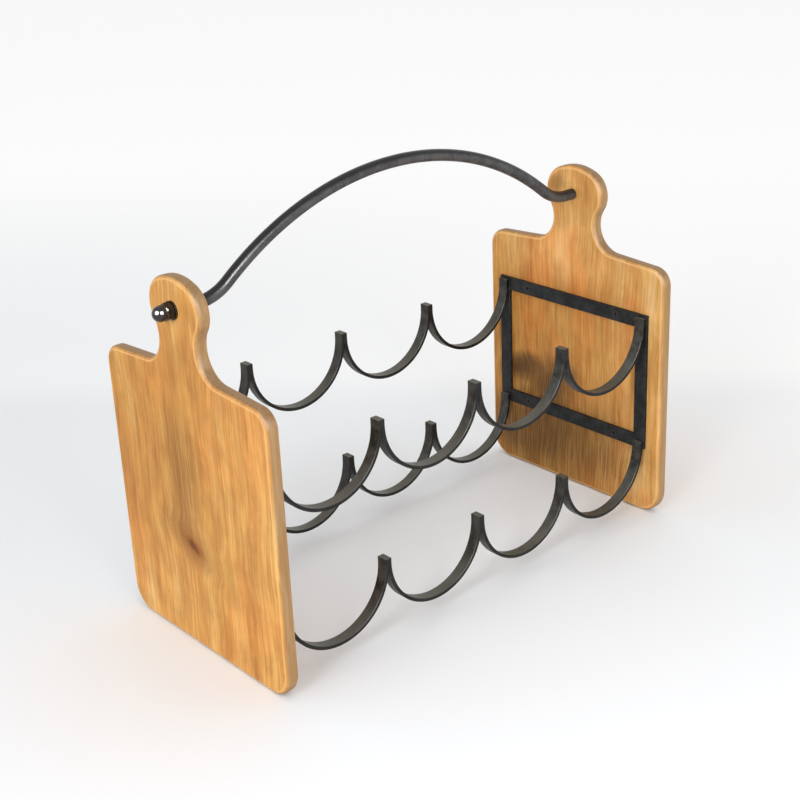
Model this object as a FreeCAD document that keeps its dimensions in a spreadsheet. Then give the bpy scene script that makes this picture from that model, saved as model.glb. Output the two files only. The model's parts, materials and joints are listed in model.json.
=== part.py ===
import FreeCAD, Part
import math
import os
import Sketcher
from FreeCAD import Placement, Rotation, Vector

# Tabletop rack for eight bottles, lying in two layers of four.
# Two wooden ends, shaped like cutting boards, carry an iron frame on their inner faces.
# Rows of bent straps run between the frames, and an arched bar through the boards' heads is the handle.
#
# X runs from the left board to the right one, Y from front to back, Z up.
# The origin is on the table, under the middle of the rack.

# Driving dimensions, in millimetres
SIZES = {
    # the two boards
    "rack_length": 440,            # over the outer faces of the boards
    "board_width": 214,
    "board_thickness": 12,
    "edge_round": 4,               # radius along every edge of a board
    "foot_corner_radius": 22,
    "shoulder_corner_radius": 16,
    "shoulder_drop": 2.7,          # fall of the shoulder from the neck to the corner
    "shoulder_rise": 46.5,         # from the frame's top up to the shoulder
    "neck_width": 51,
    "neck_radius": 23,             # hollow between shoulder and head
    "head_width": 67,
    "head_side_radius": 23,
    "head_crown_radius": 50,       # flatter arc over the head's top
    "grip_hole_depth": 25.5,       # handle's hole below the head's top
    # the flat iron frames on the boards
    "bar_width": 12.5,
    "bar_thickness": 3,
    "frame_margin": 15.75,         # from the board's edge to the frame
    "frame_over_top_row": 2.25,    # frame's top above the upper cradles' ends
    "frame_under_low_row": 7.25,   # frame's underside below the lower cradles' ends
    # the bent strap cradles
    "cradle_count": 4,             # cradles in a row
    "strap_width": 10,
    "strap_thickness": 3,
    "leg_length": 5,               # straight end of a cradle's leg
    "table_clearance": 15,         # under the lower cradles
    "layer_rise": 119.5,           # from the lower cradles to the upper ones
    # the handle
    "grip_size": 8,                # side of the square bar
    "grip_edge_round": 1.3,
    "grip_end_run": 9.5,           # level stretch at each end
    "grip_bend_radius": 46,
    "grip_rise": 70.5,             # crown of the arch above the ends
    "stud_diameter": 8,            # threaded end that passes through the board
    "stud_reach": 9,               # thread beyond the washer
    "stud_chamfer": 1,
    "stud_clearance": 0.3,         # all round the stud in the board
    # washers and cap nuts
    "washer_diameter": 15,
    "washer_thickness": 1.6,
    "washer_clearance": 0.2,       # all round the stud
    "nut_flats": 13,
    "nut_face_diameter": 12,       # flat ring of the nut inside its corner chamfer
    "nut_chamfer_depth": 0.8,
    "nut_hex_height": 6,
    "nut_height": 15,
    "nut_dome_diameter": 12.4,
    "nut_end_clearance": 1,        # between the stud's end and the bottom of the bore
    "thread_clearance": 0.05,      # all round the stud in the nut
    # wood screws that hold the frames
    "screw_count": 2,              # screws in a cross bar
    "screw_spacing": 110,
    "screw_diameter": 3.5,
    "screw_head_diameter": 7,
    "screw_point_length": 4,
    "screw_point_diameter": 0.8,
    "screw_cover": 3,              # wood left between the screw's point and the board's outer face
    "screw_clearance": 0.1,        # all round the screw and past its point
}

doc = FreeCAD.newDocument("WineRack")
sheet = doc.addObject("Spreadsheet::Sheet", "Sizes")
for row, (alias, size) in enumerate(SIZES.items(), start=1):
    sheet.set(f"A{row}", alias.replace("_", " "))
    sheet.set(f"B{row}", str(size))
    sheet.setAlias(f"B{row}", alias)
doc.recompute()

# Places that follow from the driving dimensions, as expressions
BOARD_OUTER = "(Sizes.rack_length / 2)"
BOARD_INNER = f"({BOARD_OUTER} - Sizes.board_thickness)"
FRAME_FACE = f"({BOARD_INNER} - Sizes.bar_thickness)"
ROW_Y = "(Sizes.board_width / 2 - Sizes.frame_margin - Sizes.bar_width / 2)"

PITCH = f"(2 * {FRAME_FACE} / Sizes.cradle_count)"
LOW_ROW_CENTRE = f"(Sizes.table_clearance + {PITCH} / 2)"
TOP_ROW_CENTRE = f"({LOW_ROW_CENTRE} + Sizes.layer_rise)"

FRAME_BOTTOM = f"({LOW_ROW_CENTRE} + Sizes.leg_length - Sizes.frame_under_low_row)"
FRAME_TOP = f"({TOP_ROW_CENTRE} + Sizes.leg_length + Sizes.frame_over_top_row)"
FRAME_HEIGHT = f"({FRAME_TOP} - {FRAME_BOTTOM})"
LOW_BAR_Z = f"({FRAME_BOTTOM} + Sizes.bar_width / 2)"
HIGH_BAR_Z = f"({FRAME_TOP} - Sizes.bar_width / 2)"
CROSS_BAR_LENGTH = f"(2 * {ROW_Y} - Sizes.bar_width)"

SHOULDER_Z = f"({FRAME_TOP} + Sizes.shoulder_rise)"
NECK_CENTRE_Y = "(Sizes.neck_width / 2 + Sizes.neck_radius)"
NECK_CENTRE_Z = f"({SHOULDER_Z} + Sizes.neck_radius)"
HEAD_SIDE_Y = "(Sizes.head_width / 2 - Sizes.head_side_radius)"
HEAD_SIDE_Z = (f"({NECK_CENTRE_Z} + sqrt((Sizes.neck_radius + Sizes.head_side_radius)^2"
               f" - ({NECK_CENTRE_Y} - {HEAD_SIDE_Y})^2))")
CROWN_CENTRE_Z = (f"({HEAD_SIDE_Z} - sqrt((Sizes.head_crown_radius - Sizes.head_side_radius)^2"
                  f" - {HEAD_SIDE_Y}^2))")
GRIP_Z = f"({CROWN_CENTRE_Z} + Sizes.head_crown_radius - Sizes.grip_hole_depth)"

GRIP_BEND_X = f"({BOARD_INNER} - Sizes.grip_end_run)"
GRIP_BEND_ANGLE = f"(2 * atan(Sizes.grip_rise / {GRIP_BEND_X}))"
GRIP_CROWN_RADIUS = f"({GRIP_BEND_X} / sin({GRIP_BEND_ANGLE}) - Sizes.grip_bend_radius)"

STUD_LENGTH = "(Sizes.board_thickness + Sizes.washer_thickness + Sizes.stud_reach)"
NUT_CORNER_RADIUS = "(Sizes.nut_flats / 2 / cos(30 deg))"
SCREW_HEAD_DEPTH = "((Sizes.screw_head_diameter - Sizes.screw_diameter) / 2)"
SCREW_LENGTH = "(Sizes.bar_thickness + Sizes.board_thickness - Sizes.screw_cover)"
SCREW_HOLE_RADIUS = "(Sizes.screw_diameter / 2 + Sizes.screw_clearance)"
PILOT_DEPTH = f"({SCREW_LENGTH} - Sizes.bar_thickness + Sizes.screw_clearance)"

ORIGIN = (-1, 1)
ACROSS, UPWARD = -1, -2
CENTRE = 3


def number(expression):
    """The value that an expression has with the sizes in the sheet; an angle comes in degrees."""
    return float(sheet.evalExpression(expression))


def add_object(kind, name):
    """A new object of the document, its label the same as its name."""
    thing = doc.addObject(kind, name)
    thing.Label = name
    return thing


# Sketches

def sketch_on(body, role, name, lift=None):
    """A sketch on one of the body's own origin planes, lifted along the plane's normal."""
    sketch = body.newObject("Sketcher::SketchObject", name)
    plane = next(item for item in body.Origin.OriginFeatures if item.Role == role)
    sketch.AttachmentSupport = [(plane, "")]
    sketch.MapMode = "FlatFace"
    if lift:
        sketch.setExpression("AttachmentOffset.Base.z", lift)
    return sketch


def rule(sketch, kind, *places):
    return sketch.addConstraint(Sketcher.Constraint(kind, *places))


def dimension(sketch, name, kind, expression, *places):
    """A dimension that keeps the value of its expression."""
    index = rule(sketch, kind, *places, number(expression))
    sketch.renameConstraint(index, name)
    sketch.setExpression("Constraints." + name, expression)


def line(x1, y1, x2, y2):
    return Part.LineSegment(Vector(x1, y1, 0), Vector(x2, y2, 0))


def arc(x, y, radius, start, end):
    """An arc about (x, y), counter-clockwise from one angle to the other, in degrees."""
    circle = Part.Circle(Vector(x, y, 0), Vector(0, 0, 1), radius)
    return Part.ArcOfCircle(circle, math.radians(start), math.radians(end))


def end_point(curve, end):
    return curve.value(curve.LastParameter if end == 2 else curve.FirstParameter)


def end_direction(curve, end):
    return curve.tangent(curve.LastParameter if end == 2 else curve.FirstParameter)[0]


def join(sketch, first, second):
    """Joins the nearest ends of two curves: tangent where they run on smoothly, else at a corner."""
    one, other = sketch.Geometry[first], sketch.Geometry[second]
    pairs = [(i, k) for i in (1, 2) for k in (1, 2)]
    i, k = min(pairs, key=lambda ends: (end_point(one, ends[0]) - end_point(other, ends[1])).Length)
    turn = end_direction(one, i).cross(end_direction(other, k)).Length
    rule(sketch, "Tangent" if turn < 0.2 else "Coincident", first, i, second, k)


def chain(sketch, curves, closed=True):
    """Draws curves that follow each other and joins them; returns their numbers."""
    numbers = [sketch.addGeometry(curve, False) for curve in curves]
    followers = numbers[1:] + numbers[:1] if closed else numbers[1:]
    for first, second in zip(numbers, followers):
        join(sketch, first, second)
    return numbers


def circle_at(sketch, name, radius, across=None, upward=None):
    """A circle about the sketch's origin, or off it along one or both axes."""
    x = number(across) if across else 0
    y = number(upward) if upward else 0
    circle = sketch.addGeometry(Part.Circle(Vector(x, y, 0), Vector(0, 0, 1), number(radius)), False)
    dimension(sketch, name + "_radius", "Radius", radius, circle)
    if across:
        dimension(sketch, name + "_across", "DistanceX", across, *ORIGIN, circle, CENTRE)
    else:
        rule(sketch, "PointOnObject", circle, CENTRE, UPWARD)
    if upward:
        dimension(sketch, name + "_upward", "DistanceY", upward, *ORIGIN, circle, CENTRE)
    else:
        rule(sketch, "PointOnObject", circle, CENTRE, ACROSS)


def row_offsets(count, spacing):
    """Expressions for the places of a row of things, spaced about zero."""
    return [f"({index} - ({count} - 1) / 2) * {spacing}" for index in range(int(number(count)))]


# Features

def pad(body, sketch, length, reversed_side=False, both_sides=False):
    feature = body.newObject("PartDesign::Pad", sketch.Name + "Pad")
    feature.Profile = sketch
    feature.setExpression("Length", length)
    feature.Reversed = reversed_side
    feature.Midplane = both_sides
    return feature


def pocket(body, sketch, depth=None, reversed_side=False):
    """Cuts a sketch to a depth, or right through where no depth is given."""
    feature = body.newObject("PartDesign::Pocket", sketch.Name + "Pocket")
    feature.Profile = sketch
    feature.Reversed = reversed_side
    if depth:
        feature.setExpression("Length", depth)
    else:
        feature.Type = "ThroughAll"
    return feature


# Places of the sub-parts

def place_at(thing, x, y, z):
    for axis, expression in zip("xyz", (x, y, z)):
        thing.setExpression(f"Placement.Base.{axis}", expression)


def place_on_side(thing, sign, x, y, z):
    """For a piece drawn for the left side: the right one is turned half round about the vertical."""
    turn = 0 if sign < 0 else 180
    thing.Placement = Placement(Vector(), Rotation(Vector(0, 0, 1), turn))
    place_at(thing, f"{sign} * {x}", y, z)


def point_outward(thing, sign, x, y, z):
    """Turns a piece's own Z axis away from the middle of the rack, along X."""
    thing.Placement = Placement(Vector(), Rotation(Vector(0, 1, 0), 90 * sign))
    place_at(thing, f"{sign} * {x}", y, z)


# Wooden boards

def draw_board_outline(sketch):
    """Foot, shoulders, hollow neck and rounded head: seven curves, and the same mirrored."""
    half_width = number("Sizes.board_width / 2")
    foot = number("Sizes.foot_corner_radius")
    corner = number("Sizes.shoulder_corner_radius")
    shoulder = number(SHOULDER_Z)
    drop = number("Sizes.shoulder_drop")
    neck = number("Sizes.neck_radius")
    neck_y, neck_z = number(NECK_CENTRE_Y), number(NECK_CENTRE_Z)
    head = number("Sizes.head_side_radius")
    head_y, head_z = number(HEAD_SIDE_Y), number(HEAD_SIDE_Z)
    crown, crown_z = number("Sizes.head_crown_radius"), number(CROWN_CENTRE_Z)
    corner_y = half_width - corner
    corner_z = shoulder - drop - corner
    slope = math.degrees(math.atan2(drop, corner_y - neck_y))
    neck_turn = math.degrees(math.atan2(head_z - neck_z, neck_y - head_y))
    head_turn = math.degrees(math.atan2(head_z - crown_z, head_y))
    low_y, low_z = corner_y, shoulder - drop

    curves = [
        line(foot - half_width, 0, half_width - foot, 0),
        arc(half_width - foot, foot, foot, -90, 0),
        line(half_width, foot, half_width, corner_z),
        arc(corner_y, corner_z, corner, 0, 90 - slope),
        line(low_y, low_z, neck_y, shoulder),
        arc(neck_y, neck_z, neck, 180 - neck_turn, 270 - slope),
        arc(head_y, head_z, head, -neck_turn, head_turn),
        arc(0, crown_z, crown, head_turn, 180 - head_turn),
        arc(-head_y, head_z, head, 180 - head_turn, 180 + neck_turn),
        arc(-neck_y, neck_z, neck, slope - 90, neck_turn),
        line(-neck_y, shoulder, -low_y, low_z),
        arc(-corner_y, corner_z, corner, 90 + slope, 180),
        line(-half_width, corner_z, -half_width, foot),
        arc(foot - half_width, foot, foot, 180, 270),
    ]
    (base, foot_right, side_right, corner_right, slope_right, neck_right, head_right, crown_arc,
     head_left, neck_left, slope_left, corner_left, side_left, foot_left) = chain(sketch, curves)
    mirrored_arcs = ((foot_right, foot_left), (corner_right, corner_left), (neck_right, neck_left),
                     (head_right, head_left))

    rule(sketch, "Horizontal", base)
    rule(sketch, "PointOnObject", base, 1, ACROSS)
    rule(sketch, "Vertical", side_right)
    rule(sketch, "Vertical", side_left)
    for right, left in mirrored_arcs:
        rule(sketch, "Symmetric", right, CENTRE, left, CENTRE, UPWARD)
    rule(sketch, "PointOnObject", crown_arc, CENTRE, UPWARD)
    dimension(sketch, "width", "DistanceX", "Sizes.board_width", side_left, 1, side_right, 1)
    dimension(sketch, "foot_radius", "Radius", "Sizes.foot_corner_radius", foot_right)
    dimension(sketch, "corner_radius", "Radius", "Sizes.shoulder_corner_radius", corner_right)
    dimension(sketch, "neck_radius", "Radius", "Sizes.neck_radius", neck_right)
    dimension(sketch, "head_radius", "Radius", "Sizes.head_side_radius", head_right)
    dimension(sketch, "crown_radius", "Radius", "Sizes.head_crown_radius", crown_arc)
    dimension(sketch, "head_across", "DistanceX", HEAD_SIDE_Y, *ORIGIN, head_right, CENTRE)
    dimension(sketch, "neck_across", "DistanceX", NECK_CENTRE_Y, *ORIGIN, neck_right, CENTRE)
    dimension(sketch, "neck_upward", "DistanceY", NECK_CENTRE_Z, *ORIGIN, neck_right, CENTRE)
    dimension(sketch, "drop", "DistanceY", "Sizes.shoulder_drop", slope_right, 1, slope_right, 2)


def flat_faces_across_x(shape):
    """Names of the plane faces that look along X."""
    names = []
    for index, face in enumerate(shape.Faces, start=1):
        if face.BoundBox.XLength < 0.001:
            names.append(f"Face{index}")
    return names


def make_board(name, sign):
    body = add_object("PartDesign::Body", name)
    outline = sketch_on(body, "YZ_Plane", name + "_outline")
    draw_board_outline(outline)
    blank = pad(body, outline, "Sizes.board_thickness")
    doc.recompute()

    rounding = body.newObject("PartDesign::Fillet", name + "_rounding")
    rounding.Base = (blank, flat_faces_across_x(blank.Shape))
    rounding.setExpression("Radius", "Sizes.edge_round")

    bore = sketch_on(body, "YZ_Plane", name + "_bore")
    circle_at(bore, "bore", "Sizes.stud_diameter / 2 + Sizes.stud_clearance", upward=GRIP_Z)
    pocket(body, bore, reversed_side=True)

    pilots = sketch_on(body, "YZ_Plane", name + "_pilots", lift="Sizes.board_thickness")
    for bar, height in (("low", LOW_BAR_Z), ("high", HIGH_BAR_Z)):
        for index, across in enumerate(row_offsets("Sizes.screw_count", "Sizes.screw_spacing")):
            circle_at(pilots, f"{bar}_{index}", SCREW_HOLE_RADIUS, across, height)
    pocket(body, pilots, depth=PILOT_DEPTH)
    place_on_side(body, sign, BOARD_OUTER, "0", "0")
    return body


# Flat iron frames

def draw_rectangle(sketch, across, upward):
    """A rectangle about the sketch's origin."""
    x, y = number(across) / 2, number(upward) / 2
    corners = [(-x, -y), (x, -y), (x, y), (-x, y)]
    curves = [line(*start, *end) for start, end in zip(corners, corners[1:] + corners[:1])]
    bottom, right, top, left = chain(sketch, curves)
    for level in (bottom, top):
        rule(sketch, "Horizontal", level)
    for upright in (left, right):
        rule(sketch, "Vertical", upright)
    rule(sketch, "Symmetric", bottom, 1, top, 1, *ORIGIN)
    dimension(sketch, "across", "DistanceX", across, bottom, 1, bottom, 2)
    dimension(sketch, "upward", "DistanceY", upward, right, 1, right, 2)


def make_bar(name, across, upward):
    body = add_object("PartDesign::Body", name)
    outline = sketch_on(body, "YZ_Plane", name + "_outline")
    draw_rectangle(outline, across, upward)
    pad(body, outline, "Sizes.bar_thickness")
    return body


def drill_bar(body):
    """Countersunk holes along the middle of a cross bar, sunk from its inner face."""
    centres = sketch_on(body, "YZ_Plane", body.Name + "_holes", lift="Sizes.bar_thickness")
    for index, across in enumerate(row_offsets("Sizes.screw_count", "Sizes.screw_spacing")):
        circle_at(centres, f"hole_{index}", SCREW_HOLE_RADIUS, across)
    doc.recompute()
    holes = body.newObject("PartDesign::Hole", body.Name + "_countersinks")
    holes.Profile = centres
    holes.DepthType = "ThroughAll"
    holes.setExpression("Diameter", f"2 * {SCREW_HOLE_RADIUS}")
    holes.HoleCutType = "Countersink"
    holes.HoleCutCustomValues = True
    holes.setExpression("HoleCutDiameter", "Sizes.screw_head_diameter + 2 * Sizes.screw_clearance")
    holes.HoleCutCountersinkAngle = 90


def make_frame(side, sign):
    """Two uprights and two cross bars between them, flat on the board's inner face."""
    middle_z = f"({FRAME_BOTTOM} + {FRAME_TOP}) / 2"
    pieces = []
    for position, y in (("front", f"-{ROW_Y}"), ("rear", ROW_Y)):
        upright = make_bar(f"{side}_{position}_upright", "Sizes.bar_width", FRAME_HEIGHT)
        place_on_side(upright, sign, BOARD_INNER, y, middle_z)
        pieces.append(upright)
    for position, z in (("lower", LOW_BAR_Z), ("top", HIGH_BAR_Z)):
        cross_bar = make_bar(f"{side}_{position}_bar", CROSS_BAR_LENGTH, "Sizes.bar_width")
        drill_bar(cross_bar)
        place_on_side(cross_bar, sign, BOARD_INNER, "0", z)
        pieces.append(cross_bar)
    return pieces


# Bent strap cradles

def draw_cradle(sketch):
    """A flat strap bent to a half circle with short straight legs, seen from the front."""
    outer = number(f"{PITCH} / 2")
    inner = outer - number("Sizes.strap_thickness")
    leg = number("Sizes.leg_length")
    curves = [
        line(-outer, leg, -outer, 0),
        arc(0, 0, outer, 180, 360),
        line(outer, 0, outer, leg),
        line(outer, leg, inner, leg),
        line(inner, leg, inner, 0),
        arc(0, 0, inner, 180, 360),
        line(-inner, 0, -inner, leg),
        line(-inner, leg, -outer, leg),
    ]
    leg_out_left, bend_out, leg_out_right, end_right, leg_in_right, bend_in, leg_in_left, end_left = chain(
        sketch, curves)
    for upright in (leg_out_left, leg_out_right, leg_in_right, leg_in_left):
        rule(sketch, "Vertical", upright)
    for level in (end_right, end_left):
        rule(sketch, "Horizontal", level)
    for bend in (bend_out, bend_in):
        rule(sketch, "Coincident", bend, CENTRE, *ORIGIN)
    dimension(sketch, "outer_radius", "Radius", f"{PITCH} / 2", bend_out)
    dimension(sketch, "thickness", "DistanceX", "Sizes.strap_thickness", end_right, 2, end_right, 1)
    dimension(sketch, "left_leg", "DistanceY", "Sizes.leg_length", leg_out_left, 2, leg_out_left, 1)
    dimension(sketch, "right_leg", "DistanceY", "Sizes.leg_length", leg_out_right, 1, leg_out_right, 2)


def make_cradle(name, x, y, z):
    body = add_object("PartDesign::Body", name)
    bend = sketch_on(body, "XZ_Plane", name + "_bend")
    draw_cradle(bend)
    pad(body, bend, "Sizes.strap_width", both_sides=True)
    place_at(body, x, y, z)
    return body


def make_row(name, y, z):
    """One row of cradles, legs back to back, the outer legs on the frames' uprights."""
    places = row_offsets("Sizes.cradle_count", PITCH)
    return [make_cradle(f"{name}_{index}", x, y, z) for index, x in enumerate(places, start=1)]


# Arched handle

def draw_grip_path(sketch):
    """Level end, bend upward, crown, and the same mirrored, as the bar's centre line."""
    end_x, bend_x = number(BOARD_INNER), number(GRIP_BEND_X)
    bend = number("Sizes.grip_bend_radius")
    turn = number(GRIP_BEND_ANGLE)
    crown = number(GRIP_CROWN_RADIUS)
    crown_z = number("Sizes.grip_rise") - crown
    curves = [
        line(-end_x, 0, -bend_x, 0),
        arc(-bend_x, bend, bend, 270, 270 + turn),
        arc(0, crown_z, crown, 90 - turn, 90 + turn),
        arc(bend_x, bend, bend, 270 - turn, 270),
        line(bend_x, 0, end_x, 0),
    ]
    left_run, left_bend, crown_arc, right_bend, right_run = chain(sketch, curves, closed=False)
    for run in (left_run, right_run):
        rule(sketch, "Horizontal", run)
    rule(sketch, "PointOnObject", left_run, 1, ACROSS)
    rule(sketch, "Symmetric", left_run, 1, right_run, 2, UPWARD)
    rule(sketch, "PointOnObject", crown_arc, CENTRE, UPWARD)
    rule(sketch, "Equal", left_bend, right_bend)
    dimension(sketch, "half_span", "DistanceX", BOARD_INNER, left_run, 1, *ORIGIN)
    dimension(sketch, "end_run", "DistanceX", "Sizes.grip_end_run", left_run, 1, left_run, 2)
    dimension(sketch, "bend_radius", "Radius", "Sizes.grip_bend_radius", left_bend)
    dimension(sketch, "crown_radius", "Radius", GRIP_CROWN_RADIUS, crown_arc)


def draw_rounded_square(sketch, size, radius):
    """A square about the sketch's origin with round corners."""
    half = number(size) / 2
    small = number(radius)
    flat = half - small
    curves = [
        line(-flat, -half, flat, -half),
        arc(flat, -flat, small, -90, 0),
        line(half, -flat, half, flat),
        arc(flat, flat, small, 0, 90),
        line(flat, half, -flat, half),
        arc(-flat, flat, small, 90, 180),
        line(-half, flat, -half, -flat),
        arc(-flat, -flat, small, 180, 270),
    ]
    bottom, first, right, second, top, third, left, fourth = chain(sketch, curves)
    for level in (bottom, top):
        rule(sketch, "Horizontal", level)
    for upright in (right, left):
        rule(sketch, "Vertical", upright)
    for corner in (second, third, fourth):
        rule(sketch, "Equal", first, corner)
    rule(sketch, "Symmetric", first, CENTRE, third, CENTRE, *ORIGIN)
    dimension(sketch, "radius", "Radius", radius, first)
    dimension(sketch, "across", "DistanceX", size, left, 1, right, 1)
    dimension(sketch, "upward", "DistanceY", size, bottom, 1, top, 1)


def outermost_edges(shape):
    """Names of the edges that lie in the two end planes of a long piece."""
    box = shape.BoundBox
    names = []
    for index, edge in enumerate(shape.Edges, start=1):
        span = edge.BoundBox
        if span.XMin > box.XMax - 0.001 or span.XMax < box.XMin + 0.001:
            names.append(f"Edge{index}")
    return names


def make_handle(name):
    """Square bar along the arch, with a threaded stud on each end, drawn with its ends at Z 0."""
    body = add_object("PartDesign::Body", name)
    path = sketch_on(body, "XZ_Plane", name + "_path")
    draw_grip_path(path)
    section = sketch_on(body, "YZ_Plane", name + "_section", lift=f"-{BOARD_INNER}")
    draw_rounded_square(section, "Sizes.grip_size", "Sizes.grip_edge_round")
    arch = body.newObject("PartDesign::AdditivePipe", name + "_arch")
    arch.Profile = section
    arch.Spine = path

    stud = sketch_on(body, "YZ_Plane", name + "_stud", lift=f"-{BOARD_INNER}")
    circle_at(stud, "stud", "Sizes.stud_diameter / 2")
    left_stud = pad(body, stud, STUD_LENGTH, reversed_side=True)
    doc.recompute()
    both_studs = body.newObject("PartDesign::Mirrored", name + "_both_studs")
    both_studs.Originals = [left_stud]
    middle = next(item for item in body.Origin.OriginFeatures if item.Role == "YZ_Plane")
    both_studs.MirrorPlane = (middle, [""])
    body.Tip = both_studs
    doc.recompute()

    chamfer = body.newObject("PartDesign::Chamfer", name + "_stud_ends")
    chamfer.Base = (both_studs, outermost_edges(both_studs.Shape))
    chamfer.setExpression("Size", "Sizes.stud_chamfer")
    place_at(body, "0", "0", GRIP_Z)
    return body


# Washers and cap nuts

def make_washer(name, sign):
    ring = doc.addObject("Part::Cylinder", name + "_ring")
    ring.setExpression("Radius", "Sizes.washer_diameter / 2")
    hole = doc.addObject("Part::Cylinder", name + "_hole")
    hole.setExpression("Radius", "Sizes.stud_diameter / 2 + Sizes.washer_clearance")
    for cylinder in (ring, hole):
        cylinder.setExpression("Height", "Sizes.washer_thickness")
    washer = add_object("Part::Cut", name)
    washer.Base = ring
    washer.Tool = hole
    point_outward(washer, sign, BOARD_OUTER, "0", GRIP_Z)
    return washer


def draw_nut_profile(sketch):
    """Half section of the nut with its dome, before the flats are cut."""
    face = number("Sizes.nut_face_diameter / 2")
    corner = number(NUT_CORNER_RADIUS)
    chamfer = number("Sizes.nut_chamfer_depth")
    hexagon = number("Sizes.nut_hex_height")
    dome = number("Sizes.nut_dome_diameter / 2")
    top = number("Sizes.nut_height")
    curves = [
        line(0, 0, face, 0),
        line(face, 0, corner, chamfer),
        line(corner, chamfer, corner, hexagon - chamfer),
        line(corner, hexagon - chamfer, dome, hexagon),
        line(dome, hexagon, dome, top - dome),
        arc(0, top - dome, dome, 0, 90),
        line(0, top, 0, 0),
    ]
    seat, low_chamfer, corner_side, high_chamfer, dome_side, dome_arc, axis = chain(sketch, curves)
    rule(sketch, "Horizontal", seat)
    rule(sketch, "Coincident", seat, 1, *ORIGIN)
    for upright in (corner_side, dome_side, axis):
        rule(sketch, "Vertical", upright)
    rule(sketch, "PointOnObject", dome_arc, CENTRE, UPWARD)
    dimension(sketch, "face", "DistanceX", "Sizes.nut_face_diameter / 2", seat, 1, seat, 2)
    dimension(sketch, "corner", "DistanceX", NUT_CORNER_RADIUS, *ORIGIN, corner_side, 1)
    dimension(sketch, "low_chamfer", "DistanceY", "Sizes.nut_chamfer_depth", *ORIGIN, corner_side, 1)
    dimension(sketch, "high_chamfer", "DistanceY", "Sizes.nut_chamfer_depth", corner_side, 2, high_chamfer, 2)
    dimension(sketch, "hexagon", "DistanceY", "Sizes.nut_hex_height", *ORIGIN, dome_side, 1)
    dimension(sketch, "dome", "Radius", "Sizes.nut_dome_diameter / 2", dome_arc)
    dimension(sketch, "top", "DistanceY", "Sizes.nut_height", axis, 2, axis, 1)


def draw_hexagon(sketch, corner_radius):
    """A regular hexagon about the sketch's origin, its corners on a construction circle."""
    radius = number(corner_radius)
    corners = [(radius * math.cos(math.radians(60 * k)), radius * math.sin(math.radians(60 * k)))
               for k in range(6)]
    curves = [line(*start, *end) for start, end in zip(corners, corners[1:] + corners[:1])]
    sides = chain(sketch, curves)
    circle = sketch.addGeometry(Part.Circle(Vector(), Vector(0, 0, 1), radius), True)
    rule(sketch, "Coincident", circle, CENTRE, *ORIGIN)
    for side in sides:
        rule(sketch, "PointOnObject", side, 1, circle)
    for side in sides[1:]:
        rule(sketch, "Equal", sides[0], side)
    rule(sketch, "PointOnObject", sides[0], 1, ACROSS)
    dimension(sketch, "corner_radius", "Radius", corner_radius, circle)


def make_cap_nut(name, sign):
    """Domed nut: a turned blank, six flats cut around it and a blind bore from the seat."""
    body = add_object("PartDesign::Body", name)
    profile = sketch_on(body, "XZ_Plane", name + "_profile")
    draw_nut_profile(profile)
    blank = body.newObject("PartDesign::Revolution", name + "_blank")
    blank.Profile = profile
    blank.ReferenceAxis = (profile, ["V_Axis"])

    flats = sketch_on(body, "XY_Plane", name + "_flats")
    draw_hexagon(flats, NUT_CORNER_RADIUS)
    circle_at(flats, "outside", f"{NUT_CORNER_RADIUS} + Sizes.nut_chamfer_depth")
    pocket(body, flats, reversed_side=True)

    bore = sketch_on(body, "XY_Plane", name + "_bore")
    circle_at(bore, "bore", "Sizes.stud_diameter / 2 + Sizes.thread_clearance")
    pocket(body, bore, depth="Sizes.stud_reach + Sizes.nut_end_clearance", reversed_side=True)
    point_outward(body, sign, f"({BOARD_OUTER} + Sizes.washer_thickness)", "0", GRIP_Z)
    return body


# Wood screws

def make_screw(name, sign, y, z):
    """A flat-head wood screw along its own Z axis, its head flush with the bar's inner face."""
    head = doc.addObject("Part::Cone", name + "_head")
    head.setExpression("Radius1", "Sizes.screw_head_diameter / 2")
    head.setExpression("Radius2", "Sizes.screw_diameter / 2")
    head.setExpression("Height", SCREW_HEAD_DEPTH)
    shank = doc.addObject("Part::Cylinder", name + "_shank")
    shank.setExpression("Radius", "Sizes.screw_diameter / 2")
    shank.setExpression("Height", f"{SCREW_LENGTH} - Sizes.screw_point_length")
    point = doc.addObject("Part::Cone", name + "_point")
    point.setExpression("Radius1", "Sizes.screw_diameter / 2")
    point.setExpression("Radius2", "Sizes.screw_point_diameter / 2")
    point.setExpression("Height", "Sizes.screw_point_length")
    point.setExpression("Placement.Base.z", f"{SCREW_LENGTH} - Sizes.screw_point_length")
    screw = doc.addObject("Part::MultiFuse", name)
    screw.Shapes = [head, shank, point]
    point_outward(screw, sign, FRAME_FACE, y, z)
    return screw


def make_screws(name, sign):
    """The screws of one frame, as a group of separate solids."""
    screws = []
    for bar, height in (("low", LOW_BAR_Z), ("high", HIGH_BAR_Z)):
        for index, y in enumerate(row_offsets("Sizes.screw_count", "Sizes.screw_spacing"), start=1):
            screws.append(make_screw(f"{name}_{bar}_{index}", sign, y, height))
    group = add_object("Part::Compound", name)
    group.Links = screws
    return group


# Assembly

subparts = []
for side, sign in (("left", -1), ("right", 1)):
    subparts.append(make_board(f"{side}_board", sign))
    subparts.extend(make_frame(side, sign))
    subparts.append(make_screws(f"{side}_frame_screws", sign))
    subparts.append(make_washer(f"{side}_washer", sign))
    subparts.append(make_cap_nut(f"{side}_cap_nut", sign))
for layer, z in (("bottom", LOW_ROW_CENTRE), ("top", TOP_ROW_CENTRE)):
    for position, y in (("front", f"-{ROW_Y}"), ("rear", ROW_Y)):
        subparts.extend(make_row(f"cradle_{layer}_{position}", y, z))
subparts.append(make_handle("handle_bar"))
doc.recompute()

# Checks before anything is written

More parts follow.
